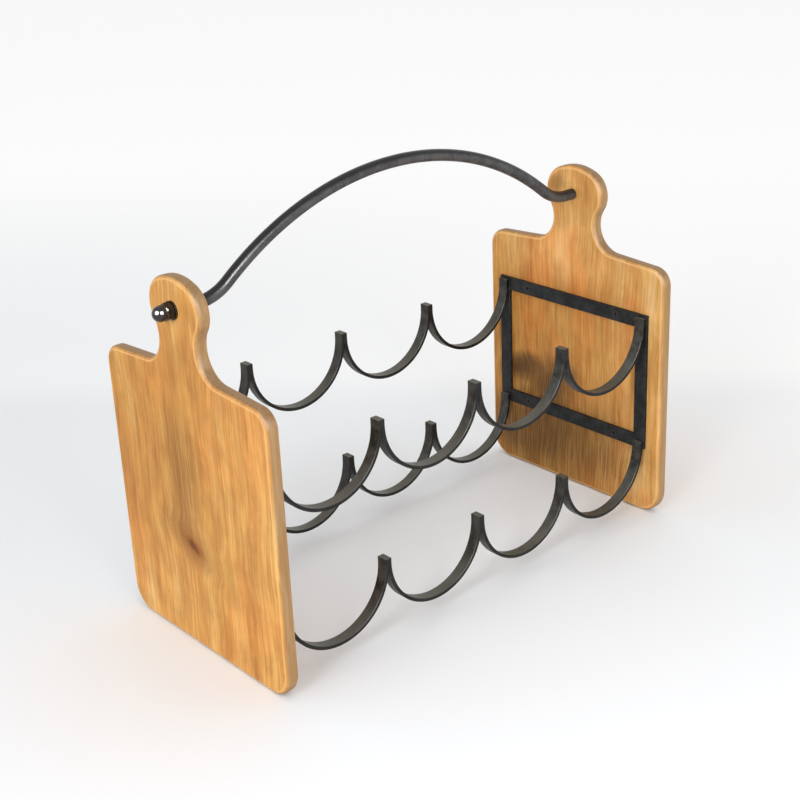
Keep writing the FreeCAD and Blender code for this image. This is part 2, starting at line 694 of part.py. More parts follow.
for thing in doc.Objects:
    if "Invalid" in thing.State or "Error" in thing.State:
        raise RuntimeError(f"{thing.Name} failed: {thing.State}")
    if thing.isDerivedFrom("Sketcher::SketchObject") and not thing.FullyConstrained:
        raise RuntimeError(f"{thing.Name} isn't fully constrained")
    if thing.TypeId in ("PartDesign::Pocket", "PartDesign::Hole"):
        if thing.Shape.Volume > thing.BaseFeature.Shape.Volume - 1:
            raise RuntimeError(f"{thing.Name} cuts nothing")
for thing in subparts:
    if thing.Shape.isNull() or not thing.Shape.isValid():
        raise RuntimeError(f"{thing.Label} has no valid shape")

os.makedirs("parts", exist_ok=True)
for thing in subparts:
    thing.Shape.exportStep(f"parts/{thing.Label}.step")
    box = thing.Shape.BoundBox
    print(f"{thing.Label}: {len(thing.Shape.Solids)} solid, {thing.Shape.Volume / 1000:.1f} cm3,",
          f"X {box.XMin:.1f} {box.XMax:.1f}, Y {box.YMin:.1f} {box.YMax:.1f}, Z {box.ZMin:.1f} {box.ZMax:.1f}")
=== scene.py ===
import bmesh
import bpy
import json
import math
from mathutils import Matrix, Vector


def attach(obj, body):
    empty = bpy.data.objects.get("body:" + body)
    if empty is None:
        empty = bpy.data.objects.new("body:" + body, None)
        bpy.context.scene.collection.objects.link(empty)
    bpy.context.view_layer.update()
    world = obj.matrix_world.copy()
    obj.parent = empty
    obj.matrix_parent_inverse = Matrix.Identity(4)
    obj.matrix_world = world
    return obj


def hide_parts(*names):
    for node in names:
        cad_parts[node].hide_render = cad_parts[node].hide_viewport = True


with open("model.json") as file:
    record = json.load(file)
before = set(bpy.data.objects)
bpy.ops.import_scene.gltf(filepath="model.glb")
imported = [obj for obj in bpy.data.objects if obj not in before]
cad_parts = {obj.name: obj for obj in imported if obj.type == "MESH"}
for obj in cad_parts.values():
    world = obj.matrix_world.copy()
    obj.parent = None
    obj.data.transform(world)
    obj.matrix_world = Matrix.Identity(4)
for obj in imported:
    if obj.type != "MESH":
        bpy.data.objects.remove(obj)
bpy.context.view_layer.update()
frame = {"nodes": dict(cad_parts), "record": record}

# Sizes in metres, angles in radians, colours as linear red, green and blue
EDGE_ROUND, EDGE_SEGMENTS, EDGE_PROFILE = 0.0005, 2, 0.7
WELD_WITHIN = 0.000002
SHARP, FLAT = math.radians(35), math.radians(0.5)
GRIP_RADIUS, GRIP_RISE, GRIP_ENDS_Z = 0.0050, 0.0692, 0.28805
GRIP_BEND_X, GRIP_BEND_RADIUS = 0.1985, 0.046
GRIP_SHOULDER_X, GRIP_SHOULDER_ROUND = 0.208, 0.0008
STUD_RADIUS, STUD_END_X, STUD_CHAMFER = 0.004, 0.2306, 0.001
CROWN_STEPS, BEND_STEPS, RING_SIDES = 48, 20, 32
SCREW_HEAD_X, SCREW_Y, SCREW_MIDDLE_Z, SCREW_FROM_MIDDLE = 0.205, 0.055, 0.1285, 0.05825
RECESS_REACH, RECESS_END_REACH, RECESS_HALF_WIDTH, RECESS_DEPTH = 0.0022, 0.0013, 0.00045, 0.0013
CUTTER_OVERLAP = 0.0005


# Node materials

def new_material(name):
    material = bpy.data.materials.new(name)
    material.use_nodes = True
    return material, material.node_tree, material.node_tree.nodes["Principled BSDF"]


def node(tree, kind, inputs=None, **settings):
    """A new node; each input is given by name or number, as a value or as a socket to link."""
    made = tree.nodes.new("ShaderNode" + kind)
    for name, value in settings.items():
        setattr(made, name, value)
    for name, value in (inputs or {}).items():
        if isinstance(value, bpy.types.NodeSocket):
            tree.links.new(value, made.inputs[name])
        else:
            made.inputs[name].default_value = value
    return made


def math_node(tree, operation, first, second=0.0):
    return node(tree, "Math", {0: first, 1: second}, operation=operation).outputs[0]


def vector_node(tree, operation, first, second):
    return node(tree, "VectorMath", {0: first, 1: second}, operation=operation).outputs["Vector"]


def how_far(tree, place, direction):
    """How far a place lies along a direction."""
    made = node(tree, "VectorMath", {0: place, 1: direction}, operation="DOT_PRODUCT")
    return made.outputs["Value"]


def stretched(tree, place, scale):
    """The place with each axis multiplied by its own scale."""
    return vector_node(tree, "MULTIPLY", place, scale)


def noise(tree, place, scale, detail=3.0, roughness=0.5):
    inputs = {"Vector": place, "Scale": scale, "Detail": detail, "Roughness": roughness}
    return node(tree, "TexNoise", inputs).outputs["Fac"]


def spread(tree, value, low, high, start=0.0, end=1.0):
    """A value's stretch from low to high drawn out smoothly from start to end."""
    inputs = {"Value": value, "From Min": low, "From Max": high, "To Min": start, "To Max": end}
    return node(tree, "MapRange", inputs, interpolation_type="SMOOTHSTEP").outputs["Result"]


def blend(tree, factor, first, second, how="MIX"):
    """Two colours blended. The node has sockets of one name for each type, so they go by number."""
    made = node(tree, "Mix", data_type="RGBA", blend_type=how)
    for index, value in ((0, factor), (6, first), (7, second)):
        if isinstance(value, bpy.types.NodeSocket):
            tree.links.new(value, made.inputs[index])
        elif index == 0:
            made.inputs[index].default_value = value
        else:
            made.inputs[index].default_value = (*value, 1)
    return made.outputs[2]


def connect(tree, shader, **links):
    """Links sockets to the shader's inputs, with _ for each space in an input's name."""
    for name, socket in links.items():
        tree.links.new(socket, shader.inputs[name.replace("_", " ")])


def bump(tree, height, distance, strength=1.0):
    made = node(tree, "Bump", {"Height": height, "Distance": distance, "Strength": strength})
    return made.outputs["Normal"]


# Wood of the boards

HONEY, DARK_GRAIN, PALE_GRAIN = (0.655, 0.325, 0.070), (0.51, 0.20, 0.034), (0.735, 0.425, 0.130)
# The smudge colour paints the stains, and on the right board it also paints the shadow of the bottles and
# straps
RED_PATCH, STAIN, SMUDGE_AND_SHADOW = (0.70, 0.25, 0.045), (0.36, 0.14, 0.024), (0.11, 0.048, 0.005)
KNOT_DARK, KNOT_RIM = (0.15, 0.036, 0.0), (0.40, 0.125, 0.006)
# The side tint is partly painted shade on the sides, and the worn tint is partly a painted highlight
# along the rounded edges
SIDE_TINT_AND_SHADE, END_TINT, WORN_AND_HIGHLIGHT_TINT = (0.39, 0.240, 0.112), (0.25, 0.155, 0.076), (0.84, 0.52, 0.21)

# Darkest and lightest colour that each noise multiplies the wood by
FIGURE_SHADE = (0.86, 0.82, 0.76), (1.08, 1.09, 1.10)
FIBRE_SHADE = (0.87, 0.76, 0.58), (1.03, 1.05, 1.09)
THREAD_SHADE = (0.87, 0.78, 0.64), (1.02, 1.04, 1.08)

# Noises of the grain: repeats in a metre along each axis, detail and roughness
GRAIN_NOISES = {"fibres": ((300.0, 300.0, 14.0), 4.0, 0.65), "threads": ((620.0, 620.0, 20.0), 3.0, 0.60),
                "bands": ((55.0, 55.0, 6.0), 5.0, 0.65), "patches": ((20.0, 20.0, 11.0), 3.0, 0.50),
                "figure": ((50.0, 50.0, 34.0), 3.0, 0.50), "pores": ((900.0, 900.0, 40.0), 2.0, 0.50)}
WANDER_SCALE, WANDER_REACH = (9.0, 9.0, 7.0), 0.024
KNOT_DEPTH, KNOT_PULL = 1.0, -0.35
STAIN_AND_SHADOW_DEPTH = 0.006
SPOT_NOISE_SCALE, SPOT_NOISE_REACH = 1.4, 0.9
WOOD_SHINE, GRAIN_RELIEF = 0.2, 0.00025

# From where to where a noise, a distance, a place or a facing takes effect, and how strongly
DARK_BANDS, PALE_BANDS, RED_PATCHES = (0.25, 0.55), (0.50, 0.72), (0.46, 0.66)
FIGURE_SPAN, FIBRE_SPAN, THREAD_SPAN, FIBRE_STRENGTH = (0.30, 0.70), (0.34, 0.60), (0.36, 0.58), 0.80
LINE_SPAN, LINE_LEAST = (0.40, 0.58), 0.25
HEART_SPAN, HEART_STRENGTH = (0.002, 0.024), 0.50
HALO_SPAN, RIM_SPAN, CORE_SPAN = (0.8, 3.6), (0.65, 1.35), (0.20, 0.85)
HALO_STRENGTH, KNOT_STRENGTH = 0.62, 0.90
SMUDGE_AND_SHADOW_SPAN, EVEN_SMUDGE_AND_SHADOW = (0.3, 2.2), 0.8
PORE_SPAN, PORE_STRENGTH, PORE_RELIEF = (0.62, 0.75), 0.35, -0.8
FRONT_LIGHT_SPAN, FOOT_SPAN = (0.02, -0.10), (0.11, 0.02)
END_GRAIN_SPAN, SIDE_SPAN, SIDE_STRENGTH = (0.25, 0.85), (0.35, 0.85), 0.90
WORN_AND_HIGHLIGHT_START, WORN_AND_HIGHLIGHT_END, WORN_AND_HIGHLIGHT_STRENGTH = (0.80, 0.95), (0.96, 0.999), 0.60
NOISE_SPAN, WOOD_ROUGH = (0.3, 0.7), (0.42, 0.58)

# Knots are (centre, size, squash), and stains and painted shadows are (centre, size, squash, strength),
# all tipped by the lean.
# The heart is the Y of a darker line, and red is how strong the red patches are. The rear tint, a painted
# shade, and the pale tint multiply the wood, which turns pale toward the front as painted light from the
# front, over the heights that head gives, and by the share that foot gives near the bottom.
LEFT_LOOK = {"lean": 0.3, "heart": 0.014, "red": 0.35, "head": (0.22, 0.29), "foot": 0.9,
             "rear_painted_shade": (0.92, 0.91, 0.86), "pale_and_lit_tint": (1.10, 1.20, 1.45),
             "knots": (((-0.220, 0.0060, 0.0920), 0.0066, 2.2),),
             "stains_and_shadows": (((-0.220, 0.0120, 0.165), 0.0260, 0.6, 0.24),
                        ((-0.220, 0.0160, 0.115), 0.0240, 0.7, 0.18))}
RIGHT_LOOK = {"lean": -0.25, "heart": -0.040, "red": 0.75, "head": (0.185, 0.225), "foot": 0.2,
              "rear_painted_shade": (0.84, 0.81, 0.75), "pale_and_lit_tint": (1.14, 1.28, 1.80),
              "knots": (((0.208, 0.0700, 0.1025), 0.0060, 1.8),),
              "stains_and_shadows": (((0.208, 0.0670, 0.1045), 0.0090, 2.0, 1.0),
                         ((0.208, 0.0260, 0.0980), 0.0170, 1.3, 0.85),
                         # These two low spots are painted shadow of the bottles and straps, not stains in
                         # the wood
                         ((0.208, 0.0500, 0.0420), 0.0330, 1.3, 0.90),
                         ((0.208, -0.0220, 0.0380), 0.0300, 1.3, 0.52),
                         ((0.208, 0.0190, 0.2950), 0.0060, 1.0, 0.40))}


def spot(tree, place, centre, size, squash, lean, depth):
    """Distance from a spot's centre in sizes of the spot, a little ragged, and how far along Y.

    Squash makes the spot low and wide, lean tips it, and depth is its size into the board.
    """
    offset = vector_node(tree, "SUBTRACT", place, centre)
    tipped = how_far(tree, offset, (0.0, -lean, 1.0))
    parts = node(tree, "SeparateXYZ", {"Vector": offset})
    across = parts.outputs["Y"]
    in_sizes = {"X": math_node(tree, "DIVIDE", parts.outputs["X"], depth),
                "Y": math_node(tree, "DIVIDE", across, size * squash),
                "Z": math_node(tree, "DIVIDE", tipped, size)}
    level = node(tree, "CombineXYZ", in_sizes).outputs["Vector"]
    distance = node(tree, "VectorMath", {0: level}, operation="LENGTH").outputs["Value"]
    ragged = math_node(tree, "SUBTRACT", noise(tree, place, SPOT_NOISE_SCALE / size, 3.0, 0.6), 0.5)
    uneven = math_node(tree, "MULTIPLY", ragged, SPOT_NOISE_REACH)
    return math_node(tree, "ADD", distance, uneven), across


def bent_grain(tree, place, look):
    """The place moved along Y, so that the grain wanders and bends around the knots.

    The marks are each knot's distance and how strong its halo is.
    """
    wander = noise(tree, stretched(tree, place, WANDER_SCALE), 1.0, 3.0)
    shift = math_node(tree, "MULTIPLY", math_node(tree, "SUBTRACT", wander, 0.5), WANDER_REACH)
    marks = []
    for centre, size, squash in look["knots"]:
        distance, across = spot(tree, place, centre, size, squash, look["lean"], KNOT_DEPTH)
        halo = spread(tree, distance, *HALO_SPAN, 1.0, 0.0)
        marks.append((distance, halo))
        pull = math_node(tree, "MULTIPLY", math_node(tree, "MULTIPLY", halo, across), KNOT_PULL)
        shift = math_node(tree, "ADD", shift, pull)
    shifted = node(tree, "CombineXYZ", {"Y": shift}).outputs["Vector"]
    return vector_node(tree, "ADD", place, shifted), marks


def grain_colour(tree, noises, red):
    """Honey wood with darker, paler and redder bands, and the shade of its fibres."""
    colour = blend(tree, spread(tree, noises["bands"], *DARK_BANDS), DARK_GRAIN, HONEY)
    colour = blend(tree, spread(tree, noises["bands"], *PALE_BANDS), colour, PALE_GRAIN)
    colour = blend(tree, spread(tree, noises["patches"], *RED_PATCHES, 0.0, red), colour, RED_PATCH)
    figure_shade = blend(tree, spread(tree, noises["figure"], *FIGURE_SPAN), *FIGURE_SHADE)
    colour = blend(tree, 1.0, colour, figure_shade, "MULTIPLY")
    fibre_shade = blend(tree, spread(tree, noises["fibres"], *FIBRE_SPAN), *FIBRE_SHADE)
    colour = blend(tree, FIBRE_STRENGTH, colour, fibre_shade, "MULTIPLY")
    thread_shade = blend(tree, spread(tree, noises["threads"], *THREAD_SPAN), *THREAD_SHADE)
    colour = blend(tree, FIBRE_STRENGTH, colour, thread_shade, "MULTIPLY")
    return colour, fibre_shade


def add_heart(tree, colour, grain, lines, heart_y):
    """A darker line that runs up the board."""
    across = node(tree, "SeparateXYZ", {"Vector": grain}).outputs["Y"]
    off_line = math_node(tree, "ABSOLUTE", math_node(tree, "SUBTRACT", across, heart_y))
    heart = spread(tree, off_line, *HEART_SPAN, HEART_STRENGTH, 0.0)
    return blend(tree, math_node(tree, "MULTIPLY", heart, lines), colour, DARK_GRAIN)


def add_knots(tree, colour, marks):
    """A brown halo, a rim and a dark core at each knot."""
    for distance, halo in marks:
        colour = blend(tree, math_node(tree, "MULTIPLY", halo, HALO_STRENGTH), colour, STAIN)
        rim = spread(tree, distance, *RIM_SPAN, KNOT_STRENGTH, 0.0)
        colour = blend(tree, rim, colour, KNOT_RIM)
        core = spread(tree, distance, *CORE_SPAN, KNOT_STRENGTH, 0.0)
        colour = blend(tree, core, colour, KNOT_DARK)
    return colour


def add_stains_and_shadows(tree, colour, place, lines, look):
    """Smoky stains, darker along the grain's threads; on the right board some of them are painted shadow
    of the bottles and straps.
    """
    for centre, size, squash, strength in look["stains_and_shadows"]:
        distance = spot(tree, place, centre, size, squash, look["lean"], STAIN_AND_SHADOW_DEPTH)[0]
        smudge_and_shadow = spread(tree, distance, *SMUDGE_AND_SHADOW_SPAN, strength, 0.0)
        colour = blend(tree, math_node(tree, "MULTIPLY", smudge_and_shadow, lines), colour, SMUDGE_AND_SHADOW)
        colour = blend(tree, math_node(tree, "MULTIPLY", smudge_and_shadow, EVEN_SMUDGE_AND_SHADOW), colour, SMUDGE_AND_SHADOW)
    return colour


def tint_and_painted_light_by_place(tree, colour, place, look):
    """Wood darkened toward the rear as painted shade, paler toward the front edge as painted light from
    the front, and also paler over the head and near the foot.
    """
    where = node(tree, "SeparateXYZ", {"Vector": place})
    front_light = spread(tree, where.outputs["Y"], *FRONT_LIGHT_SPAN)
    to_head = spread(tree, where.outputs["Z"], *look["head"])
    to_foot = spread(tree, where.outputs["Z"], *FOOT_SPAN, 0.0, look["foot"])
    pale_and_lit = math_node(tree, "MAXIMUM", front_light, math_node(tree, "MAXIMUM", to_head, to_foot))
    tint = blend(tree, pale_and_lit, look["rear_painted_shade"], look["pale_and_lit_tint"])
    return blend(tree, 1.0, colour, tint, "MULTIPLY")


def tint_edges(tree, colour, fibre_shade):
    """Browner sides and end grain, the sides' tint partly painted shade, and a pale line where a face
    turns over into them, partly wear and partly a painted highlight.
    """
    normal = node(tree, "SeparateXYZ", {"Vector": node(tree, "NewGeometry").outputs["Normal"]})
    facing = math_node(tree, "ABSOLUTE", normal.outputs["X"])
    end_grain = spread(tree, math_node(tree, "ABSOLUTE", normal.outputs["Z"]), *END_GRAIN_SPAN)
    edge = blend(tree, end_grain, SIDE_TINT_AND_SHADE, END_TINT)
    edge = blend(tree, FIBRE_STRENGTH, edge, fibre_shade, "MULTIPLY")
    colour = blend(tree, spread(tree, facing, *SIDE_SPAN, SIDE_STRENGTH, 0.0), colour, edge)
    off_side = spread(tree, facing, *WORN_AND_HIGHLIGHT_START)
    off_face = spread(tree, facing, *WORN_AND_HIGHLIGHT_END, 1.0, 0.0)
    worn_and_highlight = math_node(tree, "MULTIPLY", off_side, off_face)
    return blend(tree, math_node(tree, "MULTIPLY", worn_and_highlight, WORN_AND_HIGHLIGHT_STRENGTH), colour, WORN_AND_HIGHLIGHT_TINT)


def wood_material(name, look):
    """Oiled wood with upright grain."""
    material, tree, shader = new_material(name)
    place = node(tree, "TexCoord").outputs["Object"]
    grain, marks = bent_grain(tree, place, look)
    noises = {}
    for part, (scale, detail, roughness) in GRAIN_NOISES.items():
        noises[part] = noise(tree, stretched(tree, grain, scale), 1.0, detail, roughness)
    colour, fibre_shade = grain_colour(tree, noises, look["red"])
    lines = spread(tree, noises["threads"], *LINE_SPAN, 1.0, LINE_LEAST)
    colour = add_heart(tree, colour, grain, lines, look["heart"])
    colour = add_knots(tree, colour, marks)
    colour = add_stains_and_shadows(tree, colour, place, lines, look)
    dents = spread(tree, noises["pores"], *PORE_SPAN, 0.0, PORE_STRENGTH)
    colour = blend(tree, dents, colour, DARK_GRAIN)
    colour = tint_and_painted_light_by_place(tree, colour, place, look)
    colour = tint_edges(tree, colour, fibre_shade)
    rough = spread(tree, noises["fibres"], *NOISE_SPAN, *WOOD_ROUGH)
    relief = math_node(tree, "MULTIPLY", dents, PORE_RELIEF)
    height = math_node(tree, "ADD", noises["fibres"], relief)
    shader.inputs["Specular IOR Level"].default_value = WOOD_SHINE
    connect(tree, shader, Base_Color=colour, Roughness=rough, Normal=bump(tree, height, GRAIN_RELIEF))
    return material


# Ironwork

# On the straps the pale upward colour is painted light on their tops, and the low side factor is painted
# shade on their sides
STRAP_LOOK = {"dark": (0.008, 0.0075, 0.006), "light": (0.042, 0.039, 0.031), "side": 0.20,
              "upward": (0.130, 0.120, 0.090), "painted_top_share": 0.50, "rise": (0.35, 0.95),
              "rough": 0.32, "shine": 0.25, "depth": 0.0006}
FRAME_LOOK = {"dark": (0.005, 0.006, 0.006), "light": (0.018, 0.019, 0.019), "side": 0.80,
              "upward": (0.018, 0.019, 0.019), "painted_top_share": 0.0, "rise": (0.35, 0.95),
              "rough": 0.40, "shine": 0.18, "depth": 0.0006}
# The grip's pale colour is painted light from the front and below, and its dark upward colour is painted
# shade on its top
GRIP_LOOK = {"dark": (0.055, 0.053, 0.053), "light": (0.088, 0.084, 0.083), "side": 1.0,
             "upward": (0.013, 0.013, 0.014), "painted_top_share": 1.0, "rise": (0.12, 0.66),
             "rough": 0.21, "shine": 0.25, "depth": 0.0002}
MOTTLE_SCALE, MOTTLE_SPAN = 90.0, (0.38, 0.64)
GRIT_SCALE, GRIT_SPAN, GRIT_STRENGTH, GRIT_RELIEF = 700.0, (0.45, 0.75), 0.35, 0.15
SIDEWAYS_SPAN, ROUGH_RANGE = (0.72, 0.98), 0.14

SCREW_LOOK = {"scale": 500.0, "dark": (0.006, 0.006, 0.006), "light": (0.022, 0.022, 0.021),
              "rough": (0.32, 0.44), "shine": 0.3, "depth": 0.00003}
FITTINGS_LOOK = {"scale": 420.0, "dark": (0.006, 0.005, 0.005), "light": (0.020, 0.016, 0.013),
                 "rough": (0.10, 0.20), "shine": 0.1, "depth": 0.00002}
SCUFF_SPAN, COAT_WEIGHT, COAT_ROUGHNESS = (0.35, 0.7), 0.8, 0.10


def iron_material(name, look):
    """Black paint over hot-worked iron, mottled from dark to light and a little uneven.

    What faces along Y is multiplied by side, a painted shade on the sides. What faces up takes on the
    upward colour as far as rub says, from none to all where the normal's Z goes through rise: painted
    light on the straps' tops and painted shade on the grip's top. Depth is that of the unevenness.
    """
    material, tree, shader = new_material(name)
    place = node(tree, "TexCoord").outputs["Object"]
    mottle = noise(tree, place, MOTTLE_SCALE, 5.0, 0.65)
    grit = noise(tree, place, GRIT_SCALE, 3.0, 0.6)
    colour = blend(tree, spread(tree, mottle, *MOTTLE_SPAN), look["dark"], look["light"])
    colour = blend(tree, spread(tree, grit, *GRIT_SPAN, 0.0, GRIT_STRENGTH), colour, look["light"])
    normal = node(tree, "SeparateXYZ", {"Vector": node(tree, "NewGeometry").outputs["Normal"]})
    painted_top_mask = spread(tree, normal.outputs["Z"], *look["rise"], 0.0, look["painted_top_share"])
    colour = blend(tree, painted_top_mask, colour, look["upward"])
    sideways = spread(tree, math_node(tree, "ABSOLUTE", normal.outputs["Y"]), *SIDEWAYS_SPAN)
    side_shade = (look["side"], look["side"], look["side"])
    colour = blend(tree, sideways, colour, blend(tree, 1.0, colour, side_shade, "MULTIPLY"))
    rough = spread(tree, mottle, *NOISE_SPAN, look["rough"], look["rough"] + ROUGH_RANGE)
    height = math_node(tree, "ADD", mottle, math_node(tree, "MULTIPLY", grit, GRIT_RELIEF))
    shader.inputs["Specular IOR Level"].default_value = look["shine"]
    connect(tree, shader, Base_Color=colour, Roughness=rough, Normal=bump(tree, height, look["depth"]))
    return material


def scuffed_black(name, look):
    """A black finish with faint scuffs, as a material and its shader."""
    material, tree, shader = new_material(name)
    place = node(tree, "TexCoord").outputs["Object"]
    scuffs = noise(tree, place, look["scale"], 3.0)
    colour = blend(tree, spread(tree, scuffs, *SCUFF_SPAN), look["dark"], look["light"])
    rough = spread(tree, scuffs, *NOISE_SPAN, *look["rough"])
    shader.inputs["Specular IOR Level"].default_value = look["shine"]
    connect(tree, shader, Base_Color=colour, Roughness=rough, Normal=bump(tree, scuffs, look["depth"]))
    return material, shader


def screw_material():
    return scuffed_black("black_screws", SCREW_LOOK)[0]


def fittings_material():
    """Semi-gloss black of the washers and the cap nuts, under a clear coat."""
    material, shader = scuffed_black("black_fittings", FITTINGS_LOOK)
    shader.inputs["Coat Weight"].default_value = COAT_WEIGHT
    shader.inputs["Coat Roughness"].default_value = COAT_ROUGHNESS
    return material


# Pieces that stand for CAD nodes

def finish_piece(name, mesh, material):
    """An object of the mesh that stands for a CAD node and is shaded smooth between sharp edges."""
    mesh.materials.clear()
    mesh.materials.append(material)
    piece = bpy.data.objects.new("shown_" + name, mesh)
    bpy.context.scene.collection.objects.link(piece)
    corners = piece.modifiers.new("even_shading", "WEIGHTED_NORMAL")
    corners.keep_sharp = True
    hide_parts(name)
    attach(piece, "root")
    return piece


def editable(mesh):
    shape = bmesh.new()
    shape.from_mesh(mesh)
    return shape


def written(shape, mesh):
    """The mesh with the edited shape in it."""
    shape.to_mesh(mesh)
    shape.free()
    return mesh


def smooth_between_edges(shape):
    """Smooth faces, with the sharp edges between them kept sharp."""
    for face in shape.faces:
        face.smooth = True
    for edge in shape.edges:
        edge.smooth = len(edge.link_faces) == 2 and edge.calc_face_angle() < SHARP


def bridge(shape, before, after):
    """A band of faces between two rings of vertices."""
    for corner, (start, end) in enumerate(zip(before, after)):
        following = (corner + 1) % len(before)
        shape.faces.new((start, before[following], after[following], end))


def soften(name, material):
    """A copy of a CAD node with its sharp edges rounded."""
    mesh = frame["nodes"][name].data.copy()
    mesh.name = "shown_" + name
    shape = editable(mesh)
    bmesh.ops.remove_doubles(shape, verts=shape.verts, dist=WELD_WITHIN)
    bmesh.ops.dissolve_limit(shape, angle_limit=FLAT, verts=shape.verts, edges=shape.edges)
    sharp = [edge for edge in shape.edges
             if len(edge.link_faces) == 2 and edge.calc_face_angle() > SHARP]
    bmesh.ops.bevel(shape, geom=sharp, offset=EDGE_ROUND, segments=EDGE_SEGMENTS, profile=EDGE_PROFILE,
                    affect="EDGES", clamp_overlap=True)
    for face in shape.faces:
        face.smooth = True
    finish_piece(name, written(shape, mesh), material)


def grip_half():
    """X, height, downward slope and radius at steps from the arch's crown to the end of one stud."""
    turn = 2 * math.atan(GRIP_RISE / GRIP_BEND_X)
    crown_radius = GRIP_BEND_X / math.sin(turn) - GRIP_BEND_RADIUS
    steps = []
    for step in range(CROWN_STEPS):
        slope = turn * step / CROWN_STEPS
        height = GRIP_RISE - crown_radius * (1 - math.cos(slope))
        steps.append((crown_radius * math.sin(slope), height, slope, GRIP_RADIUS))
    for step in range(BEND_STEPS + 1):
        slope = turn * (1 - step / BEND_STEPS)
        height = GRIP_BEND_RADIUS * (1 - math.cos(slope))
        steps.append((GRIP_BEND_X - GRIP_BEND_RADIUS * math.sin(slope), height, slope, GRIP_RADIUS))
    steps.append((GRIP_SHOULDER_X - GRIP_SHOULDER_ROUND, 0.0, 0.0, GRIP_RADIUS))
    steps.append((GRIP_SHOULDER_X, 0.0, 0.0, GRIP_RADIUS - GRIP_SHOULDER_ROUND))
    steps.append((GRIP_SHOULDER_X, 0.0, 0.0, STUD_RADIUS))
    steps.append((STUD_END_X - STUD_CHAMFER, 0.0, 0.0, STUD_RADIUS))
    steps.append((STUD_END_X, 0.0, 0.0, STUD_RADIUS - STUD_CHAMFER))
    return steps


def grip_ring(shape, x, height, slope, radius):
    """A ring of vertices around the bar, square to its run."""
    ring = []
    for side in range(RING_SIDES):
        angle = 2 * math.pi * side / RING_SIDES
        outward = radius * math.sin(angle)
        ring.append(shape.verts.new((x + outward * math.sin(slope), radius * math.cos(angle),
                                     GRIP_ENDS_Z + height + outward * math.cos(slope))))
    return ring


def round_grip(name, material):
    """The arched bar with the round section that the photograph shows, and its two studs."""
    half = grip_half()
    mirrored = [(-x, height, -slope, radius) for x, height, slope, radius in reversed(half[1:])]
    shape = bmesh.new()
    rings = [grip_ring(shape, *step) for step in mirrored + half]
    for before, after in zip(rings, rings[1:]):
        bridge(shape, before, after)
    shape.faces.new(rings[0])
    shape.faces.new(rings[-1])
    bmesh.ops.recalc_face_normals(shape, faces=shape.faces)
    smooth_between_edges(shape)
    mesh = written(shape, bpy.data.meshes.new("shown_" + name))
    return finish_piece(name, mesh, material)


def cross_ring(shape, x, middle_y, middle_z, reach):
    """The twelve corners of a plus sign that stands across X."""
    half = RECESS_HALF_WIDTH
    ring = []
    for quarter in range(4):
        turn = quarter * math.pi / 2
        across, upward = round(math.cos(turn)), round(math.sin(turn))
        for along, aside in ((reach, -half), (reach, half), (half, half)):
            y = middle_y + along * across - aside * upward
            z = middle_z + along * upward + aside * across
            ring.append(shape.verts.new((x, y, z)))
    return ring


def recess_cutter(sign):
    """Plus-shaped plugs that taper inward, one at each screw's head on one side of the rack."""
    outer_x, inner_x = sign * (SCREW_HEAD_X - CUTTER_OVERLAP), sign * (SCREW_HEAD_X + RECESS_DEPTH)
    shape = bmesh.new()
    for y in (-SCREW_Y, SCREW_Y):
        for z in (SCREW_MIDDLE_Z - SCREW_FROM_MIDDLE, SCREW_MIDDLE_Z + SCREW_FROM_MIDDLE):
            outer = cross_ring(shape, outer_x, y, z, RECESS_REACH)
            inner = cross_ring(shape, inner_x, y, z, RECESS_END_REACH)
            shape.faces.new(outer)
            shape.faces.new(inner)
            bridge(shape, outer, inner)
    bmesh.ops.recalc_face_normals(shape, faces=shape.faces)
    return written(shape, bpy.data.meshes.new("recess_cutter"))


def cut_away(mesh, cutting_mesh):
    """A new mesh: the first one less the second."""
    uncut = bpy.data.objects.new("uncut", mesh)
    cutter = bpy.data.objects.new("cutter", cutting_mesh)
    for helper in (uncut, cutter):
        bpy.context.scene.collection.objects.link(helper)
    cut = uncut.modifiers.new("recess", "BOOLEAN")
    cut.operation = "DIFFERENCE"
    cut.solver = "EXACT"
    cut.object = cutter
    result = bpy.data.meshes.new_from_object(uncut.evaluated_get(bpy.context.evaluated_depsgraph_get()))
    for helper in (uncut, cutter):
        bpy.data.objects.remove(helper)
    return result


def cut_screws(name, material):
    """The CAD screws with a cross recess cut into each head."""
    mesh = frame["nodes"][name].data.copy()
    shape = editable(mesh)
    bmesh.ops.remove_doubles(shape, verts=shape.verts, dist=WELD_WITHIN)
    result = cut_away(written(shape, mesh), recess_cutter(-1 if name.startswith("left") else 1))
    result.name = "shown_" + name
    shape = editable(result)
    smooth_between_edges(shape)
    finish_piece(name, written(shape, result), material)


def paint(name, material):
    cad = frame["nodes"][name]
    cad.data.materials.clear()
    cad.data.materials.append(material)


# Camera and light

# Angles in degrees, focal length and picture width in pixels, sensor width in millimetres
CAMERA_TURN, CAMERA_TILT, CAMERA_ROLL = -40.307, 22.571, -2.580
CAMERA_TARGET, CAMERA_DISTANCE = (-0.00718, -0.00027, 0.15230), 1.24013
FOCAL_LENGTH, PICTURE_WIDTH, SENSOR_WIDTH = 1460.062, 800, 36

# Lamps and cards are (name, place, size, power), and all of them face one point
LIT_POINT = (0, 0, 0.15)
LAMPS = (("key", (-1.8, -0.8, 1.3), 0.5, 9), ("second", (-0.6, -2.0, 1.3), 0.4, 4))
LEFT_CARD = ("left_card", (-1.9, -0.7, 1.3), 1.1, 190)
FRONT_CARD = ("front_card", (-0.6, -2.1, 1.3), 1.1, 190)
NUT_CARDS = (("left_nut_card", (-2.3, -0.3, 1.3), 1.9, 350),
             ("front_nut_card", (-0.2, -2.4, 1.3), 1.9, 350))
WORLD_STRENGTH = 0.95


